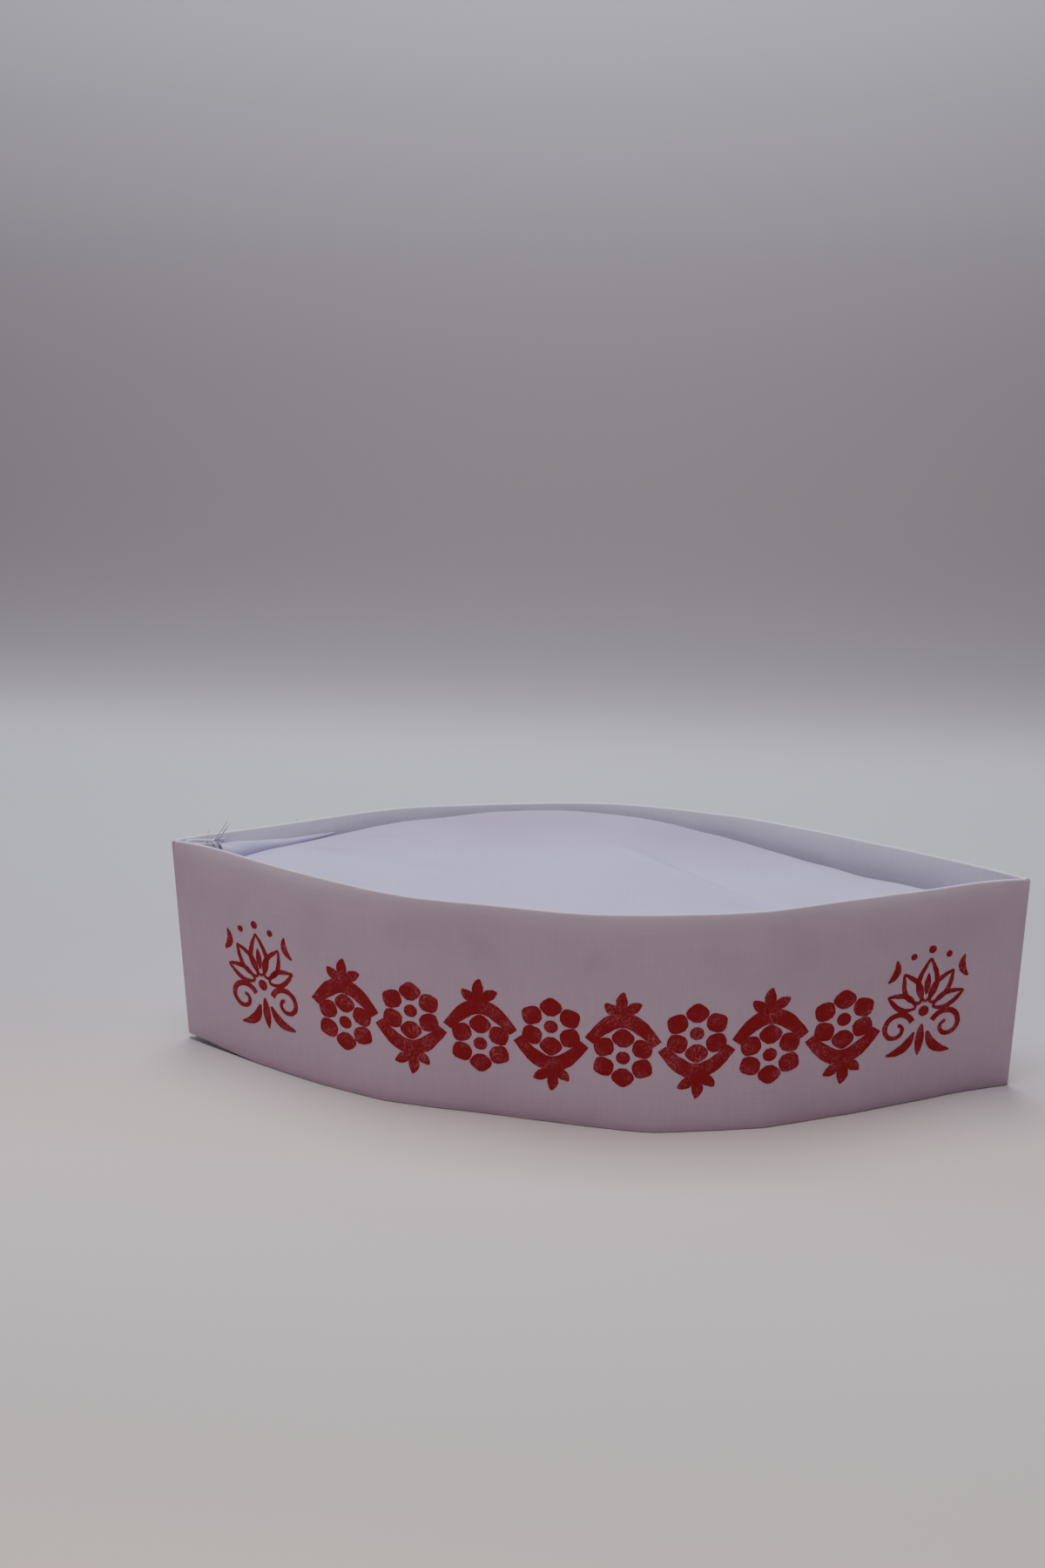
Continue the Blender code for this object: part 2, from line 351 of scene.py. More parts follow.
CREASES = (
    # from along, across, to along, across, depth (below 0 for a crest), width
    (0.00, 0.22, 0.50, -0.96, -0.0042, 0.0080),
    (0.10, 0.32, 0.58, -0.84, 0.0032, 0.0060),
    (-0.34, 0.62, -0.25, 0.10, 0.0010, 0.0024),
    (-0.70, 0.55, -0.42, 0.30, 0.0015, 0.0042),
    (-0.78, 0.40, -0.60, -0.05, 0.0013, 0.0034),
    (-0.62, -0.10, -0.30, -0.45, 0.0014, 0.0054),
    (-0.20, 0.75, 0.20, 0.55, 0.0011, 0.0048),
    (0.20, 0.65, 0.55, 0.35, 0.0012, 0.0052),
)


def through(rows, column, along):
    """A smooth curve through one column of a table, whose first column is along."""
    table = np.array(rows, float)
    place, value = table[:, 0], table[:, column]
    slope = np.gradient(value, place)
    before = np.clip(np.searchsorted(place, along) - 1, 0, len(place) - 2)
    after = before + 1
    step = place[after] - place[before]
    t = (along - place[before]) / step
    return (
        (1 + 2 * t) * (1 - t) ** 2 * value[before]
        + t * (1 - t) ** 2 * step * slope[before]
        + t**2 * (3 - 2 * t) * value[after]
        + t**2 * (t - 1) * step * slope[after]
    )


def ease(share):
    """Runs smoothly from 0 to 1 as share does."""
    share = np.clip(share, 0, 1)
    return share * share * (3 - 2 * share)


def soft_noise(x, y, wavelength, seed, waves=7):
    """A smooth random surface of about unit height, the same on each run."""
    chance = np.random.default_rng(seed)
    total = 0.0
    for _ in range(waves):
        angle, phase = chance.uniform(0, 2 * math.pi, 2)
        length = wavelength * chance.uniform(*NOISE_LENGTHS)
        total = total + np.sin(2 * math.pi * (x * math.cos(angle) + y * math.sin(angle)) / length + phase)
    return total / math.sqrt(waves)


def ripple(noise, x, y, shift=0):
    """Soft noise by a row of height, wavelength and seed, where shift gives another pattern."""
    height, wavelength, seed = noise
    return height * soft_noise(x, y, wavelength, seed + shift)


# The band's walls


def bulge_of(side, x):
    plan, bulge = (NEAR_PLAN, NEAR_BULGE) if side == NEAR else (FAR_PLAN, FAR_BULGE)
    full = through(plan, 1, np.linspace(-1, 1, PLAN_STEPS + 1)).max()
    return bulge * through(plan, 1, np.clip(x / HALF_SPAN, -1, 1)) / full


def slope_of(side, x):
    step = HALF_SPAN / SLOPE_STEPS
    return (bulge_of(side, x + step) - bulge_of(side, x - step)) / (2 * step)


def proud_of(side, x, share):
    """How far the wall stands off its plain plan at a share of its height, from 0 to 1."""
    along = np.clip(x / HALF_SPAN, -1, 1)
    out = 0.0
    for noise in WALL_NOISE:
        out = out + ripple(noise, x, share * BAND_HEIGHT, side)
    if side == NEAR:
        out = out + through(NEAR_LEAN, 1, along) * (0.5 - share)
    else:
        out = out - FAR_FOOT_INSET
    for lean_side, lean, depth, more in RIM_LEANS:
        if lean_side == side:
            below = (1 - np.asarray(share)) * BAND_HEIGHT
            to_tip = ease((np.abs(along) - LEAN_START) / LEAN_REACH)
            out = out + lean * (1 + more * to_tip) * np.exp(-below / depth)
    for bend_side, place, height, width, kept in WALL_BENDS:
        if bend_side == side:
            off = np.sqrt((x - place * HALF_SPAN) ** 2 + (BEND_ROUNDING * width) ** 2)
            out = out + height * np.exp(-off / width) * (1 - (1 - kept) * share)
    return out * (1 - np.abs(along) ** TIP_CALM)


def wall_y(side, x, depth=0.0, share=0.5):
    """Y of the surface that lies depth inside a wall's outer face."""
    inward = depth * np.sqrt(1 + slope_of(side, x) ** 2)
    return CHORD_Y + side * (bulge_of(side, x) + proud_of(side, x, share) - inward)


def band_foot(x):
    """Height of the band's lower edge over the floor."""
    return TIP_LIFT * ease(1 - (x + HALF_SPAN) / LIFT_REACH)


def band_rim(x, y):
    """Height of the band's upper edge, which wavers a little."""
    return BAND_HEIGHT - RIM_DROP + ripple(RIM_NOISE, x, y)


def tip_of(end):
    """(x of the tip, half the angle between the walls) at the left end, -1, or the right, 1."""
    x = end * (HALF_SPAN - TIP_PROBE)
    rise = (bulge_of(NEAR, x) + bulge_of(FAR, x)) / 2
    return end * HALF_SPAN, math.atan2(rise, TIP_PROBE)


def plan_ring(depth, share, steps=250, arc_steps=8):
    """Plan points round the band, depth inside its outer face, rounded at the two tips."""
    ends = {}
    for end, radius in ((-1, LEFT_TIP_RADIUS), (1, RIGHT_TIP_RADIUS)):
        tip_x, half_angle = tip_of(end)
        kept = max(radius - depth, LEAST_TIP_RADIUS)
        corner = tip_x - end * depth / math.sin(half_angle)
        centre = corner - end * kept / math.sin(half_angle)
        start = centre + end * kept * math.sin(half_angle)
        spread = math.pi / 2 - half_angle
        turn = np.linspace(-spread, spread, arc_steps + 2)[1:-1]
        arc = np.stack([centre + end * kept * np.cos(turn), CHORD_Y + kept * np.sin(turn)], 1)
        ends[end] = (start, arc)
    x = np.linspace(-HALF_SPAN, HALF_SPAN, steps)
    x = np.clip(x, ends[-1][0], ends[1][0])
    near = np.stack([x, wall_y(NEAR, x, depth, share)], 1)
    far = np.stack([x, wall_y(FAR, x, depth, share)], 1)[::-1]
    return np.concatenate([near, ends[1][1], far, ends[-1][1][::-1]])


# Meshes


def along_and_back(points):
    """Lengths from the first point to each, and to the first again past the last."""
    steps = np.linalg.norm(np.diff(points, axis=0), axis=1)
    lengths = np.concatenate([[0], np.cumsum(steps)])
    return np.append(lengths, lengths[-1] + np.linalg.norm(points[0] - points[-1]))


def grid_object(name, points, material, round_rows=False, round_columns=False, merge=True):
    """An object from a grid of points, rows of columns, with a UV map in metres.

    A grid that goes round in a direction joins its last row or column to its first.
    """
    rows, columns = points.shape[:2]
    u = along_and_back(points[rows // 2])
    v = along_and_back(points[:, columns // 3])
    faces, uvs = [], []
    for row in range(rows if round_rows else rows - 1):
        for column in range(columns if round_columns else columns - 1):
            low, high = row * columns, (row + 1) % rows * columns
            on = (column + 1) % columns
            faces.append((low + column, low + on, high + on, high + column))
            left, right = u[column], u[column + 1]
            under, over = v[row], v[row + 1]
            uvs += [(left, under), (right, under), (right, over), (left, over)]
    mesh = bpy.data.meshes.new(name)
    mesh.from_pydata(points.reshape(-1, 3).tolist(), [], faces)
    layer = mesh.uv_layers.new(name="cloth")
    layer.data.foreach_set("uv", np.array(uvs, np.float32).ravel())
    return finished(name, mesh, material, merge)


def finished(name, mesh, material, merge):
    if merge:
        shape = bmesh.new()
        shape.from_mesh(mesh)
        bmesh.ops.remove_doubles(shape, verts=shape.verts, dist=SAME_POINT)
        bmesh.ops.dissolve_degenerate(shape, edges=shape.edges, dist=NO_LENGTH)
        shape.to_mesh(mesh)
        shape.free()
    mesh.materials.append(material)
    mesh.shade_smooth()
    piece = bpy.data.objects.new(name, mesh)
    bpy.context.scene.collection.objects.link(piece)
    return piece


def thicken(piece, thickness, offset=-1.0):
    shell = piece.modifiers.new("Cloth", "SOLIDIFY")
    shell.thickness = thickness
    shell.offset = offset


# Materials


class Nodes:
    """A short way to write a material's nodes."""

    def __init__(self, name):
        self.material = bpy.data.materials.new(name)
        self.material.use_nodes = True
        self.tree = self.material.node_tree
        self.shader = self.tree.nodes["Principled BSDF"]

    def add(self, kind, **settings):
        node = self.tree.nodes.new(kind)
        for key, value in settings.items():
            setattr(node, key, value)
        return node

    def put(self, socket, value):
        if isinstance(value, bpy.types.NodeSocket):
            self.tree.links.new(value, socket)
        else:
            socket.default_value = value

    def math(self, operation, a, b=0.0):
        node = self.add("ShaderNodeMath", operation=operation)
        self.put(node.inputs[0], a)
        self.put(node.inputs[1], b)
        return node.outputs[0]

    def mix(self, share, a, b):
        node = self.add("ShaderNodeMix", data_type="RGBA")
        self.put(node.inputs["Factor"], share)
        self.put(node.inputs["A"], a)
        self.put(node.inputs["B"], b)
        return node.outputs["Result"]

    def spread(self, value, low, high, to_low=0.0, to_high=1.0):
        node = self.add("ShaderNodeMapRange")
        self.put(node.inputs["Value"], value)
        keys = ("From Min", "From Max", "To Min", "To Max")
        for key, number in zip(keys, (low, high, to_low, to_high)):
            node.inputs[key].default_value = number
        return node.outputs["Result"]

    def noise(self, vector, scale, detail=2.0):
        node = self.add("ShaderNodeTexNoise")
        self.put(node.inputs["Vector"], vector)
        node.inputs["Scale"].default_value = scale
        node.inputs["Detail"].default_value = detail
        return node.outputs["Fac"]

    def stretched(self, vector, scale):
        node = self.add("ShaderNodeMapping")
        self.put(node.inputs["Vector"], vector)
        node.inputs["Scale"].default_value = scale
        return node.outputs["Vector"]


def weave_of(n):
    """(height of a plain weave, slubs along both threads) from the UV map in metres."""
    uv = n.add("ShaderNodeUVMap", uv_map="cloth").outputs["UV"]
    split = n.add("ShaderNodeSeparateXYZ")
    n.put(split.inputs[0], uv)
    turns = 2 * math.pi / THREAD_PITCH
    warp = n.math("SINE", n.math("MULTIPLY", split.outputs["X"], turns))
    weft = n.math("SINE", n.math("MULTIPLY", split.outputs["Y"], turns))
    over = n.math("MULTIPLY", warp, weft)
    across = n.noise(n.stretched(uv, (SLUB_ALONG, SLUB_ACROSS, 1)), 1.0)
    down = n.noise(n.stretched(uv, (SLUB_ACROSS, SLUB_ALONG, 1)), 1.0)
    slubs = n.math("ADD", across, down)
    return over, slubs


def painted_shade_strip_of(n, coordinates):
    """Painted shade: a faint, patchy darker strip below the band's rim, where the wall lies in shade."""
    uv = n.add("ShaderNodeUVMap", uv_map="cloth").outputs["UV"]
    split = n.add("ShaderNodeSeparateXYZ")
    n.put(split.inputs[0], uv)
    rising = n.spread(split.outputs["Y"], *PAINTED_SHADE_STRIP_FROM)
    falling = n.spread(split.outputs["Y"], *PAINTED_SHADE_STRIP_TO)
    patches = n.spread(n.noise(coordinates, PAINTED_SHADE_STRIP_CLOUDS, 2.0), 0.46, 0.72, 0.06, 0.30)
    return n.math("MULTIPLY", patches, n.math("MULTIPLY", rising, falling))


def cotton(name, colour, shade, bump=0.35, roughness=0.88, shade_strip_painted=False, far_shade_painted=False):
    """Plain-woven cotton: colour, with shade in its faint mottling and gaps; where asked, painted shade
    in a strip below the band's rim, or on the crown's far side.
    """
    n = Nodes(name)
    over, slubs = weave_of(n)
    coordinates = n.add("ShaderNodeTexCoord").outputs["Object"]
    cloud = n.noise(coordinates, COTTON_CLOUDS, 3.0)
    gaps = n.spread(over, -1.0, 1.0, MOST_GAP, 0.0)
    uneven = n.spread(slubs, *SLUBS_SPAN, MOST_GAP, 0.0)
    mottled = n.spread(cloud, *CLOUD_SPAN, 0.6, 1.1)
    dull = n.math("MULTIPLY", n.math("ADD", gaps, uneven), mottled)
    tone = n.mix(dull, (*colour, 1), (*shade, 1))
    # painted shade: a patchy darker strip below the band's rim
    if shade_strip_painted:
        tone = n.mix(painted_shade_strip_of(n, coordinates), tone, PAINTED_SHADE_STRIP_COLOUR)
    # painted shade: the crown darker towards its far side, mottled by the same clouds
    if far_shade_painted:
        split = n.add("ShaderNodeSeparateXYZ")
        n.put(split.inputs[0], coordinates)
        far = n.spread(split.outputs["Y"], *PAINTED_FAR_SHADE_REACH, 0.0, PAINTED_FAR_SHADE_MOST)
        far = n.math("MULTIPLY", far, n.spread(cloud, *CLOUD_SPAN, 0.7, 1.2))
        tone = n.mix(far, tone, PAINTED_FAR_SHADE_COLOUR)
    n.put(n.shader.inputs["Base Color"], tone)
    rough = n.spread(slubs, *SLUBS_SPAN, roughness - 0.05, roughness + 0.06)
    n.put(n.shader.inputs["Roughness"], rough)
    height = n.math("ADD", n.math("MULTIPLY", over, 0.5), slubs)
    bumps = n.add("ShaderNodeBump")
    bumps.inputs["Strength"].default_value = bump
    bumps.inputs["Distance"].default_value = BUMP_DEPTH
    n.put(bumps.inputs["Height"], height)
    n.put(n.shader.inputs["Normal"], bumps.outputs["Normal"])
    n.shader.inputs["Specular IOR Level"].default_value = 0.25
    n.shader.inputs["Sheen Weight"].default_value = 0.12
    n.shader.inputs["Sheen Roughness"].default_value = 0.5
    return n.material


def ink(name, colour, thin):
    """Screen ink on cotton: thin where the weave and a dry patch let the cloth show."""
    n = Nodes(name)
    over, slubs = weave_of(n)
    coordinates = n.add("ShaderNodeTexCoord").outputs["Object"]
    patch = n.noise(coordinates, INK_PATCHES, 3.0)
    fleck = n.noise(coordinates, INK_FLECKS, 1.0)
    dry = n.math("MULTIPLY", n.spread(patch, 0.42, 0.75), n.spread(fleck, 0.4, 0.7))
    weft = n.spread(n.math("ADD", over, n.math("MULTIPLY", slubs, 1.2)), 1.2, 2.4, 0.0, 0.25)
    tone = n.mix(n.math("MAXIMUM", dry, weft), (*colour, 1), (*thin, 1))
    n.put(n.shader.inputs["Base Color"], tone)
    n.put(n.shader.inputs["Roughness"], n.spread(patch, *CLOUD_SPAN, 0.62, 0.8))
    bumps = n.add("ShaderNodeBump")
    bumps.inputs["Strength"].default_value = 0.3
    bumps.inputs["Distance"].default_value = BUMP_DEPTH
    n.put(bumps.inputs["Height"], n.math("ADD", over, slubs))
    n.put(n.shader.inputs["Normal"], bumps.outputs["Normal"])
    n.shader.inputs["Specular IOR Level"].default_value = 0.2
    return n.material


# Painted light and shade along the sweep: darker in its bend and at the cap's foot, lighter on the floor
# and at the backdrop's top
SWEEP_PAINTED_LIGHT_AND_SHADE = (
    # metres along the sweep from its front edge, red, green, blue
    (1.36, 0.84, 0.66, 0.59),
    (1.43, 0.60, 0.56, 0.56),
    (1.50, 0.76, 0.70, 0.71),
    (1.56, 0.74, 0.57, 0.56),
    (1.62, 0.54, 0.53, 0.57),
    (1.82, 0.62, 0.62, 0.68),
    (1.88, 0.64, 0.62, 0.67),
    (1.93, 0.46, 0.43, 0.47),
    (2.00, 0.33, 0.30, 0.32),
    (2.10, 0.245, 0.215, 0.23),
    (2.23, 0.30, 0.265, 0.28),
    (2.31, 0.37, 0.33, 0.37),
    (2.37, 0.52, 0.49, 0.54),
    (2.46, 0.68, 0.68, 0.74),
)


def paper(name):
    """A matt studio sweep with painted light and shade along it: darkest in its bend, lighter at the top
    of the backdrop, with painted shadow on the floor at the cap's foot.
    """
    n = Nodes(name)
    uv = n.add("ShaderNodeUVMap", uv_map="cloth").outputs["UV"]
    split = n.add("ShaderNodeSeparateXYZ")
    n.put(split.inputs[0], uv)
    ramp = n.add("ShaderNodeValToRGB")
    ramp.color_ramp.interpolation = "B_SPLINE"
    stops = ramp.color_ramp.elements
    while len(stops) < len(SWEEP_PAINTED_LIGHT_AND_SHADE):
        stops.new(0.5)
    for stop, (place, red, green, blue) in zip(stops, SWEEP_PAINTED_LIGHT_AND_SHADE):
        stop.position = place / SWEEP_END
        stop.color = (red, green, blue, 1)
    n.put(ramp.inputs["Fac"], n.math("DIVIDE", split.outputs["Y"], SWEEP_END))
    coordinates = n.add("ShaderNodeTexCoord").outputs["Object"]
    cloud = n.noise(coordinates, PAPER_CLOUDS, 2.0)
    uneven = n.spread(cloud, *CLOUD_SPAN, 0.0, 0.04)
    n.put(n.shader.inputs["Base Color"], n.mix(uneven, ramp.outputs["Color"], PAPER_CLOUD_COLOUR))
    n.shader.inputs["Roughness"].default_value = 0.75
    n.shader.inputs["Specular IOR Level"].default_value = 0.2
    return n.material


# The band


def make_band():
    half = BAND_CLOTH / 2
    loops = []
    shares = 1 - np.linspace(1, 0, BAND_ROWS) ** ROW_CROWDING
    for share in shares:
        loops.append((0.0, share, 0.0))
    for turn in np.linspace(0, math.pi, RIM_STEPS + 1)[1:-1]:
        loops.append((half * (1 - math.cos(turn)), 1.0, half * math.sin(turn)))
    for share in shares[::-1]:
        loops.append((BAND_CLOTH, share, 0.0))
    for turn in np.linspace(0, math.pi, RIM_STEPS + 1)[1:-1]:
        loops.append((half * (1 + math.cos(turn)), 0.0, -half * math.sin(turn)))
    grid = []
    for depth, share, beyond in loops:
        plan = plan_ring(depth, share)
        x, y = plan[:, 0], plan[:, 1]
        low = band_foot(x) + half
        high = band_rim(x, y) - half
        grid.append(np.stack([x, y, low + (high - low) * share + beyond], 1))
    band = grid_object("band_cloth", np.array(grid), white, round_rows=True, round_columns=True)
    band.data.materials.append(white_inside)
    # outer faces take the band's cotton with painted shade, inner faces the plain copy
    for face in band.data.polygons:
        side = FAR if face.center.y > CHORD_Y else NEAR
        face.material_index = int(face.normal.y * side < INWARD)
    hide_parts("band")
    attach(band, "root")
    return band


# The crown


def crown_end(rise):
    return CROWN_FLOOR_END + (CROWN_TOP_END - CROWN_FLOOR_END) * rise


def crown_edges(along, rise):
    """X, and the near and far Y, of the crown's outline at a share of its height."""
    x = crown_end(rise) * along
    touching = BAND_CLOTH + LAYER_GAP
    near = wall_y(NEAR, x, touching + rise * RIDGE_INSET * through(RIDGE, 4, along), rise)
    far = wall_y(FAR, x, touching + rise * RIDGE_INSET * through(RIDGE, 3, along), rise)
    closing = np.sqrt(np.clip(1 - np.abs(along) ** CROWN_BLUNTNESS, 0, 1))
    middle, half = (near + far) / 2, (far - near) / 2 * closing
    return x, middle - half, middle + half


def crease_share(along, across, crease):
    """How much of a crease's depth is there: most on its line, less beside it and at its ends."""
    a0, c0, a1, c1, _, width = crease
    length = np.array(((a1 - a0) * CROWN_TOP_END, (c1 - c0) * NEAR_BULGE))
    x = (along - a0) * CROWN_TOP_END
    y = (across - c0) * NEAR_BULGE
    reach = np.clip((x * length[0] + y * length[1]) / (length @ length), 0, 1)
    off = np.hypot(x - reach * length[0], y - reach * length[1])
    start, run = CREASE_ENDS
    fade = np.sin(math.pi * (start + run * reach))
    return np.exp(-np.sqrt((off / width) ** 2 + CREASE_ROUNDING)) * fade


def crown_height(along, across):
    far = RIDGE_HEIGHT * through(RIDGE, 1, along)
    near = RIDGE_HEIGHT * through(RIDGE, 2, along)
    height = near + (far - near) * (across + 1) / 2
    fall = np.where(across > 0, across**4, across**2)
    height = height + CROWN_PUFF * (1 - along**4) * (1 - fall)
    for crease in CREASES:
        height = height - crease[4] * crease_share(along, across, crease)
    x, y = along * CROWN_TOP_END, across * NEAR_BULGE
    calm = 1 - EDGE_CALM * np.abs(across) ** EDGE_CALM_POWER
    for noise in CROWN_NOISE:
        height = height + ripple(noise, x, y) * calm
    return height


def crown_spot(along, across):
    """(x, y, z) on the crown's top."""
    x, near, far = crown_edges(along, 1)
    return x, near + (far - near) * (across + 1) / 2, crown_height(along, across)


def crown_profile(side, along, side_rows=26, corner_rows=7, top_rows=30):
    """Rows of points up the crown's side, over its ridge and in to the middle of its top."""
    corner = np.stack(crown_spot(along, side + 0 * along), 1)
    rows = []
    low = band_foot(crown_edges(along, 0.0)[0]) + LAYER_GAP
    for rise in np.linspace(0, 1, side_rows + 1)[:-1]:
        x, near, far = crown_edges(along, rise)
        y = near if side == NEAR else far
        slack = math.sin(math.pi * rise) * ripple(SIDE_NOISE, x, 0 * x + rise * SIDE_NOISE_SPAN, side)
        z = low + (corner[:, 2] - low) * rise
        rows.append(np.stack([x, y - side * np.abs(slack), z], 1))
    under = corner + (rows[-1] - corner) * RIDGE_FOOT_SHARE
    _, near, far = crown_edges(along, 1)
    width = np.maximum(np.abs(far - near), LEAST_WIDTH)
    inset = np.clip(2 * RIDGE_ROUNDING / width, 0, MOST_ROUNDING)
    over = np.stack(crown_spot(along, side * (1 - inset)), 1)
    for t in np.linspace(0, 1, corner_rows):
        rows.append(under * (1 - t) ** 2 + corner * 2 * t * (1 - t) + over * t * t)
    for t in np.linspace(0, 1, top_rows + 1)[1:]:
        rows.append(np.stack(crown_spot(along, side * (1 - inset) * (1 - t)), 1))
    return np.array(rows)


def make_crown():
    along = np.sin(np.linspace(-math.pi / 2, math.pi / 2, CROWN_COLUMNS))
    near = crown_profile(NEAR, along)
    far = crown_profile(FAR, along)[:, ::-1]
    grid = np.concatenate([near, far[:, 1:-1]], axis=1)
    crown = grid_object("crown_cloth", grid, painted_shade_crown_cotton, round_columns=True)
    thicken(crown, CROWN_CLOTH)
    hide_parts("crown_side", "crown_top")
    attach(crown, "root")


# The tuck and the seam allowance


def make_tuck():
    """The rolled tuck: an arched sheet along the far ridge, open at its left end."""
    steps, arc_steps = 60, 22
    run = np.linspace(0, 1, steps)
    left = 1 - (1 - FOLD_END_SHARE) * run**FOLD_NARROWING
    width, rise = FOLD_WIDTH * left, FOLD_RISE * left
    beside = BAND_CLOTH + LAYER_GAP + CROWN_CLOTH + FOLD_CLEARANCE
    foot_x = FOLD_LOW[0] + FOLD_SETBACK + (FOLD_HIGH[0] - FOLD_LOW[0]) * run
    foot_y = wall_y(FAR, foot_x, beside, 1.0)
    slope = slope_of(FAR, foot_x)
    across = np.stack([slope, -np.ones_like(slope)]) / np.hypot(slope, 1)
    rows = []
    for angle in np.linspace(*FOLD_ARC, arc_steps):
        place = across * width * (1 - math.cos(angle)) / 2
        x, y = foot_x + place[0], foot_y + place[1]
        along = np.clip(x / CROWN_TOP_END, -1, 1)
        _, near, far = crown_edges(along, 1)
        over = np.clip(2 * (y - near) / np.maximum(far - near, LEAST_WIDTH) - 1, -1, 1)
        base = crown_height(along, over) + FOLD_LIFT
        sag = ripple(TUCK_NOISE, x, y) * left
        rows.append(np.stack([x, y, base + rise * math.sin(angle) + sag], 1))
    tuck = grid_object("crown_tuck", np.array(rows), painted_shade_crown_cotton)
    thicken(tuck, TUCK_CLOTH, 1.0)
    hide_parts("crown_fold")
    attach(tuck, "root")


def make_seam():
    """Two raw plies of the band's seam allowance, against the far wall inside the left tip."""
    x0, x1 = SEAM_LOW[0] + SEAM_START, SEAM_HIGH[0] + SEAM_OVERRUN
    for ply, (depth, drop, short) in enumerate(SEAM_PLIES):
        rows = []
        for share in np.linspace(SEAM_FOOT_SHARE, 1, SEAM_ROWS):
            ragged = ripple(PLY_EDGE_NOISE, share * BAND_HEIGHT, 0.0, ply)
            x = np.linspace(x0, x1 - short + ragged, SEAM_COLUMNS)
            edge = ease((x - x0) / (x1 - x0))
            wave = ripple(PLY_NOISE, 0 * x + share * BAND_HEIGHT, x, ply)
            loose = edge * SEAM_LOOSE * (1 + wave) / 2
            y = wall_y(FAR, x, BAND_CLOTH + LAYER_GAP + depth + loose, share)
            top = BAND_HEIGHT - drop - SEAM_SAG * edge + ripple(PLY_TOP_NOISE, x, 0 * x, ply)
            low = band_foot(x) + LAYER_GAP
            rows.append(np.stack([x, y, low + (top - low) * share], 1))
        sheet = grid_object(f"seam_ply_{ply + 1}", np.array(rows), raw_edge)
        thicken(sheet, SEAM_PLY, 1.0)
        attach(sheet, "root")
    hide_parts("band_seam")


def tube_mesh(name, paths, material, sides=5):
    """Fine threads joined in one mesh, each with its radius and tapering at its free end."""
    points, faces = [], []
    for radius, path in paths:
        path = [Vector(p) for p in path]
        for i, spot in enumerate(path):
            ahead = (path[min(i + 1, len(path) - 1)] - path[max(i - 1, 0)]).normalized()
            side = ahead.cross(THREAD_ASIDE).normalized()
            other = ahead.cross(side)
            thin = radius * (1 - THREAD_TAPER * i / (len(path) - 1))
            for k in range(sides):
                turn = 2 * math.pi * k / sides
                points.append(spot + thin * (side * math.cos(turn) + other * math.sin(turn)))
        first = len(points) - sides * len(path)
        for i in range(len(path) - 1):
            for k in range(sides):
                a, b = first + i * sides + k, first + i * sides + (k + 1) % sides
                faces.append((a, b, b + sides, a + sides))
        faces.append(tuple(first + k for k in reversed(range(sides))))
        faces.append(tuple(first + (len(path) - 1) * sides + k for k in range(sides)))
    mesh = bpy.data.meshes.new(name)
    mesh.from_pydata([tuple(p) for p in points], [], faces)
    mesh.uv_layers.new(name="cloth")
    return finished(name, mesh, material, merge=False)


def curl(start, heading, length, wander, chance, steps=9):
    """A loose thread's path: it starts along heading and wanders."""
    spot, ahead = Vector(start), Vector(heading).normalized()
    path = [spot.copy()]
    for _ in range(steps - 1):
        ahead = (ahead + wander * Vector(chance.normal(0, 1, 3))).normalized()
        spot = spot + ahead * length / (steps - 1)
        path.append(spot.copy())
    return path


def rim_y(x, depth):
    """Y at the far wall's rim, depth inside its outer face."""
    return float(wall_y(FAR, np.array([x]), depth, 1.0)[0])


def make_threads():
    chance = np.random.default_rng(THREAD_SEED)
    paths = []
    edge_x = SEAM_HIGH[0] + FRAY_START
    for _ in range(FRAY_COUNT):
        x = edge_x - abs(chance.normal(0, FRAY_SPREAD))
        share = 1 - abs(chance.normal(0, FRAY_SPREAD_DOWN))
        y = rim_y(x, BAND_CLOTH + FRAY_INSET)
        z = BAND_HEIGHT * share - FRAY_DROP
        heading = [chance.uniform(*limits) for limits in FRAY_HEADINGS]
        length = chance.uniform(*FRAY_LENGTHS)
        paths.append((FRAY_RADIUS, curl((x, y, z), heading, length, FRAY_WANDER, chance)))
    thread_x = SEAM_HIGH[0] + BUNDLE_START
    thread_y = rim_y(thread_x, BAND_CLOTH + BUNDLE_INSET)
    for shift in BUNDLE_SHIFTS:
        start = (thread_x + shift, thread_y, BAND_HEIGHT - BUNDLE_DROP)
        path = curl(start, BUNDLE_HEADING, BUNDLE_LENGTH - 2 * shift, BUNDLE_WANDER, chance)
        paths.append((BUNDLE_RADIUS, path))
    for x in RIM_FRAYS:
        y = rim_y(x, BAND_CLOTH / 2)
        heading = (chance.uniform(*RIM_FRAY_SWAY), *RIM_FRAY_HEADING)
        start = (x, y, BAND_HEIGHT - RIM_FRAY_DROP)
        length = chance.uniform(*RIM_FRAY_LENGTHS)
        paths.append((FRAY_RADIUS, curl(start, heading, length, RIM_FRAY_WANDER, chance)))
    threads = tube_mesh("frayed_threads", paths, raw_edge)
    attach(threads, "root")


# The print: strokes laid on the near wall

INK_CHANCE = np.random.default_rng(INK_SEED)


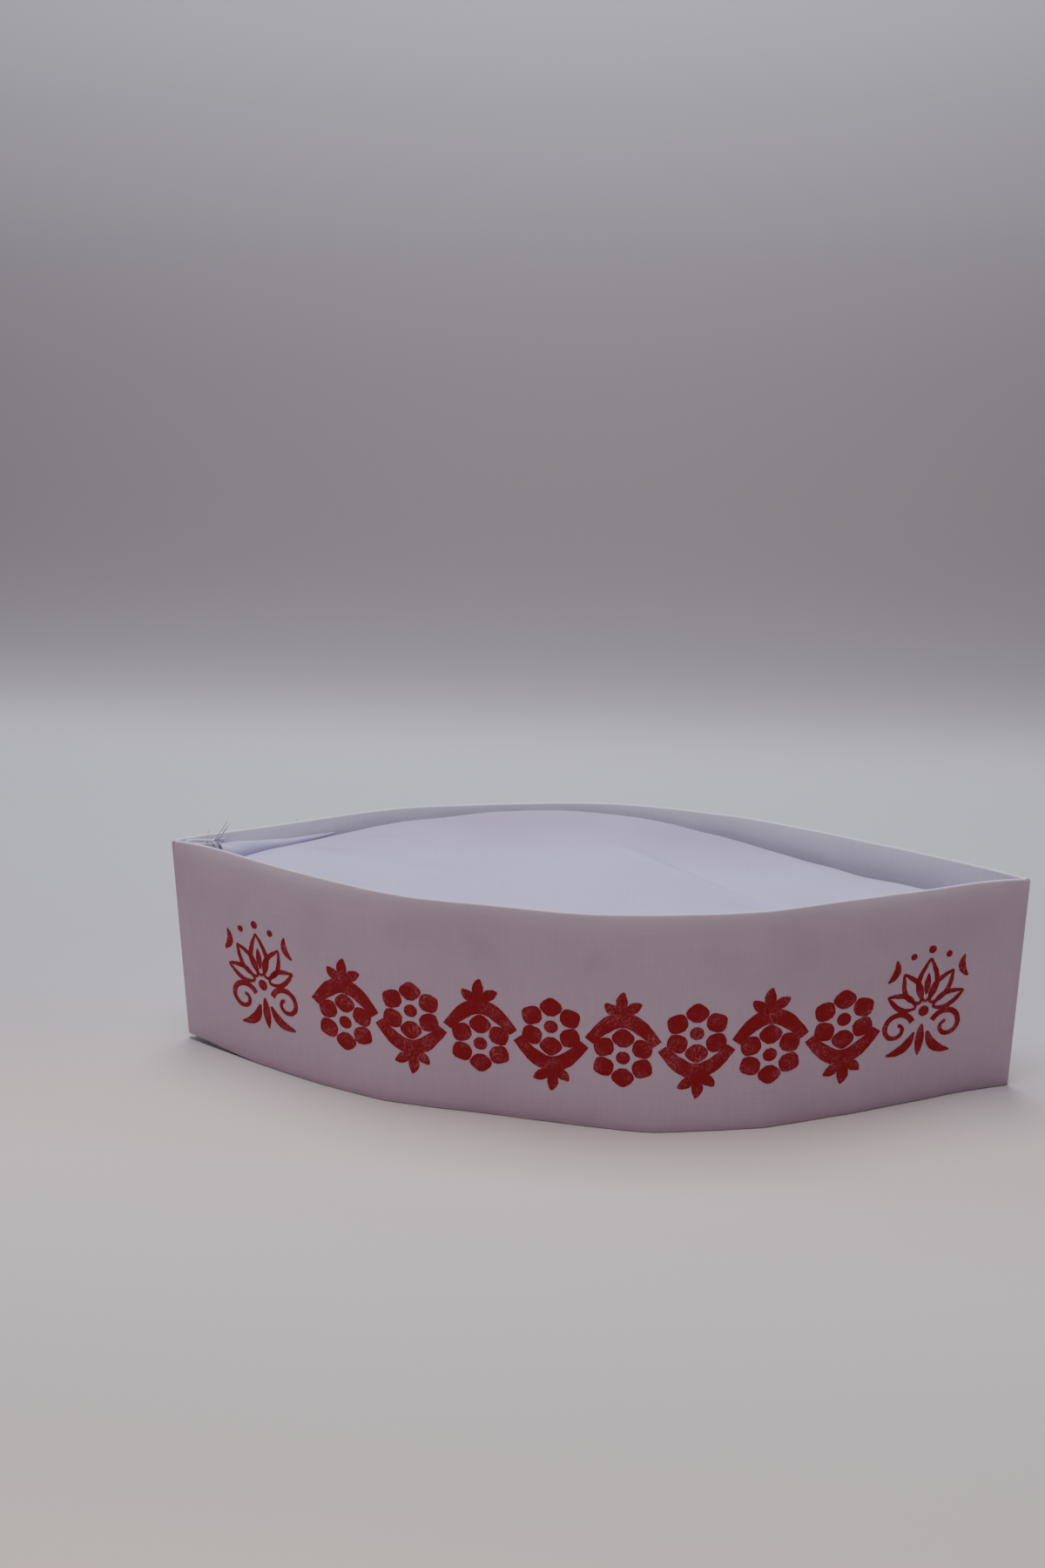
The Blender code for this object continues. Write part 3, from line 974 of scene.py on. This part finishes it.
class Stencil:
    """Ink strokes drawn on the near wall, in millimetres from a motif's centre."""

    def __init__(self, face, centre_x, centre_z, tilt=0.0):
        self.face = face
        self.centre = (centre_x, centre_z)
        self.tilt = tilt
        self.points, self.quads = [], []

    def place(self, u, z):
        """The spot on the wall u across and z up from the centre."""
        turn = math.radians(self.tilt)
        u, z = u * math.cos(turn) - z * math.sin(turn), u * math.sin(turn) + z * math.cos(turn)
        x = self.centre[0] + MILLIMETRE * u * self.flat
        before = Vector((x, PRINT_RAY_START, self.centre[1] + MILLIMETRE * z))
        spot, normal, _, _ = self.face.ray_cast(before, Vector((0, 1, 0)))
        return spot + normal * INK_LIFT

    @property
    def flat(self):
        """How much of a length along the wall is seen along X at the centre."""
        slope = float(slope_of(NEAR, np.array([self.centre[0]]))[0])
        return 1 / math.hypot(1, slope)

    def stroke(self, path, widths, across=4):
        """A ribbon of ink along path, whose width follows widths."""
        path = np.array(path, float)
        steps = len(path)
        ahead = np.gradient(path, axis=0)
        ahead /= np.maximum(np.linalg.norm(ahead, axis=1), 1e-9)[:, None]
        aside = np.stack([-ahead[:, 1], ahead[:, 0]], 1)
        widths = np.interp(np.linspace(0, 1, steps), np.linspace(0, 1, len(widths)), widths)
        rough = INK_CHANCE.normal(0, INK_RAGGED, (steps, 2))
        first = len(self.points)
        for i in range(steps):
            half = widths[i] / 2
            for k in range(across + 1):
                share = 2 * k / across - 1
                edge = rough[i, 0] if k == 0 else rough[i, 1] if k == across else 0
                spot = path[i] + aside[i] * (half * share + edge)
                self.points.append(self.place(*spot))
        for i in range(steps - 1):
            for k in range(across):
                a = first + i * (across + 1) + k
                self.quads.append((a, a + across + 1, a + across + 2, a + 1))

    def leaf(self, root, tip, width, bend=0.0, steps=14):
        """A leaf or petal from root to tip, bent to one side."""
        root, tip = np.array(root, float), np.array(tip, float)
        t = np.linspace(0, 1, steps)[:, None]
        line = tip - root
        aside = np.array([-line[1], line[0]])
        path = root + line * t + aside * bend * np.sin(math.pi * t)
        shape = width * np.sin(math.pi * np.linspace(*LEAF_ENDS, steps)) ** LEAF_FULLNESS
        self.stroke(path, shape)

    def spiral(self, centre, start, turns, radius, width, steps=26):
        """A tendril that winds in towards centre."""
        t = np.linspace(0, 1, steps)
        turn = start + 2 * math.pi * turns * t
        reach = radius * (1 - SPIRAL_CLOSING * t)
        path = np.stack([centre[0] + reach * np.cos(turn), centre[1] + reach * np.sin(turn)], 1)
        self.stroke(path, width * np.linspace(1, SPIRAL_THINNING, 5))

    def dot(self, centre, radius, steps=12):
        t = np.linspace(-DOT_REACH, DOT_REACH, steps)
        path = np.stack([centre[0] + radius * t, centre[1] + 0 * t], 1)
        self.stroke(path, 2 * radius * np.sqrt(1 - t**2))

    def finish(self, name):
        mesh = bpy.data.meshes.new(name)
        mesh.from_pydata([tuple(p) for p in self.points], [], self.quads)
        layer = mesh.uv_layers.new(name="cloth")
        for loop in mesh.loops:
            spot = mesh.vertices[loop.vertex_index].co
            layer.data[loop.index].uv = (spot.x, spot.z)
        piece = finished(name, mesh, red_ink, merge=False)
        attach(piece, "root")


def draw_flower(stencil, centre, radius, petals, width):
    """A round flower of leaf-shaped petals about an open ring."""
    for k in range(petals):
        turn = 2 * math.pi * k / petals + math.pi / 2
        ray = np.array([math.cos(turn), math.sin(turn)])
        middle = np.array(centre)
        stencil.leaf(middle + FLOWER_RING * radius * ray, middle + radius * ray, width)
    stencil.dot(centre, FLOWER_HEART * radius)


def draw_spray(stencil, foot, up, size):
    """Three leaves that fan from the stem."""
    for angle, length in SPRAY_LEAVES:
        turn = math.radians(angle)
        ray = np.array([math.sin(turn), up * math.cos(turn)])
        root = np.array(foot) + SPRAY_ROOT * size * ray
        tip = np.array(foot) + size * length * ray
        stencil.leaf(root, tip, SPRAY_WIDTH * size, SPRAY_BEND)


def make_vine(face):
    """A running vine along the middle of the near wall."""
    stencil = Stencil(face, *VINE_PLACE)
    half = VINE_LENGTH / 2
    reach = VINE_LENGTH / (2 * VINE_WAVES)
    for k in range(2 * VINE_WAVES):
        start = -half + k * reach
        up = 1 if k % 2 else -1
        u = np.linspace(start + VINE_GAP, start + reach - VINE_GAP, 24)
        z = -up * VINE_RISE * np.sin(math.pi * (u - start) / reach)
        stencil.stroke(np.stack([u, z], 1), VINE_WIDTHS)
        middle = start + reach / 2
        centre = (middle, up * FLOWER_RISE)
        draw_flower(stencil, centre, FLOWER_RADIUS, FLOWER_PETALS, FLOWER_PETAL_WIDTH)
        draw_spray(stencil, (middle, -up * (VINE_RISE + SPRAY_OFFSET)), -up, SPRAY_SIZE)
    stencil.finish("print_vine")


def draw_petal(stencil, root, tip, width, line):
    """A petal in outline: two bowed strokes that meet at its tip."""
    root, tip = np.array(root, float), np.array(tip, float)
    along = tip - root
    aside = np.array([-along[1], along[0]]) / np.linalg.norm(along)
    t = np.linspace(0, 1, 20)[:, None]
    for side in (-1, 1):
        path = root + along * t + side * aside * width / 2 * np.sin(math.pi * t**PETAL_BULGE)
        stencil.stroke(path, line * np.array(PETAL_LINE))


def make_medallion(face, name, x, z, tilt):
    """An outlined lotus between two curling tendrils, at an end of the band."""
    stencil = Stencil(face, x, z, tilt)
    foot = np.array(LOTUS_FOOT)
    for angle, length, width in LOTUS_PETALS:
        turn = math.radians(angle)
        ray = np.array([math.sin(turn), math.cos(turn)])
        draw_petal(stencil, foot + LOTUS_HEART * ray, foot + length * ray, width, LOTUS_LINE)
    low, high, width = LOTUS_VEIN
    stencil.leaf(foot + np.array([0.0, low]), foot + np.array([0.0, high]), width)
    for side in (-1, 1):
        centre = (side * TENDRIL_CENTRE[0], TENDRIL_CENTRE[1])
        start = math.pi / 2 + side * TENDRIL_START
        stencil.spiral(centre, start, side * -TENDRIL_TURNS, TENDRIL_RADIUS, TENDRIL_WIDTH)
        for root_u, root_z, tip_u, tip_z, width, bend in SIDE_LEAVES:
            stencil.leaf((side * root_u, root_z), (side * tip_u, tip_z), width, side * bend)
    high, low, width = LOTUS_STALK
    stencil.leaf((0.0, high), (0.0, low), width)
    stencil.dot(tuple(foot), LOTUS_EYE)
    for across, up, radius in LOTUS_DOTS:
        stencil.dot((across, up), radius)
    stencil.finish(name)


# The studio


def make_camera():
    ahead = CAMERA_HEADING * math.cos(CAMERA_PITCH) - Vector((0, 0, math.sin(CAMERA_PITCH)))
    level = Vector((CAMERA_HEADING.y, -CAMERA_HEADING.x, 0))
    upright = level.cross(ahead)
    right = level * math.cos(CAMERA_ROLL) - upright * math.sin(CAMERA_ROLL)
    up = level * math.sin(CAMERA_ROLL) + upright * math.cos(CAMERA_ROLL)
    data = bpy.data.cameras.new("camera")
    data.lens = CAMERA_LENS
    data.sensor_width = CAMERA_SENSOR
    data.clip_start = CAMERA_NEAREST
    camera = bpy.data.objects.new("camera", data)
    turn = Matrix((right, up, -ahead)).transposed().to_4x4()
    camera.matrix_world = Matrix.Translation(CAMERA_PLACE) @ turn
    bpy.context.scene.collection.objects.link(camera)
    bpy.context.scene.camera = camera


def make_sweep():
    """A floor that curves up into a backdrop."""
    profile = [(-STUDIO_SIDE, 0.0), (SWEEP_START, 0.0)]
    for turn in np.linspace(0, math.pi / 2, SWEEP_STEPS + 1)[1:]:
        y = SWEEP_START + SWEEP_RADIUS * math.sin(turn)
        profile.append((y, SWEEP_RADIUS * (1 - math.cos(turn))))
    profile.append((SWEEP_START + SWEEP_RADIUS, STUDIO_SIDE))
    grid = np.array([[(x, y, z) for x in (-STUDIO_SIDE, STUDIO_SIDE)] for y, z in profile])
    sweep = grid_object("sweep", grid, backdrop, merge=False)


def add_light(name, place, target, size, energy, colour):
    data = bpy.data.lights.new(name, "AREA")
    data.shape = "RECTANGLE"
    data.size, data.size_y = size
    data.energy = energy
    data.color = colour
    light = bpy.data.objects.new(name, data)
    light.location = place
    aim = Vector(target) - Vector(place)
    light.rotation_euler = aim.to_track_quat("-Z", "Y").to_euler()
    bpy.context.scene.collection.objects.link(light)


def make_lights():
    for light in LIGHTS:
        add_light(*light)
    world = bpy.data.worlds.new("studio")
    world.use_nodes = True
    background = world.node_tree.nodes["Background"]
    background.inputs["Color"].default_value = WORLD_COLOUR
    background.inputs["Strength"].default_value = WORLD_STRENGTH
    bpy.context.scene.world = world


# the band's outside: the cotton darker and pinker than its inside, painted shade for the near wall's
# shade and warm fill, with a painted shade strip below the rim
white = cotton("white_cotton", (0.71, 0.58, 0.69), (0.58, 0.45, 0.56), shade_strip_painted=True)
white_inside = cotton("white_cotton_inside", (0.83, 0.79, 0.90), (0.70, 0.67, 0.78))
# the crown: a darker copy of the cotton than the band's inside, painted shade, with more painted shade on
# its far side
painted_shade_crown_cotton = cotton("white_cotton_crown", (0.585, 0.53, 0.755), (0.465, 0.41, 0.635), far_shade_painted=True)
raw_edge = cotton("raw_cotton_edge", (0.80, 0.76, 0.85), (0.62, 0.58, 0.68), bump=0.5)
red_ink = ink("red_ink", (0.33, 0.003, 0.007), (0.50, 0.16, 0.20))
backdrop = paper("studio_sweep_painted_light_and_shade")

make_camera()
make_sweep()
make_lights()
band = make_band()
make_crown()
make_tuck()
make_seam()
make_threads()
bpy.context.view_layer.update()
near_face = BVHTree.FromObject(band, bpy.context.evaluated_depsgraph_get())
make_vine(near_face)
for medallion in MEDALLIONS:
    make_medallion(near_face, *medallion)
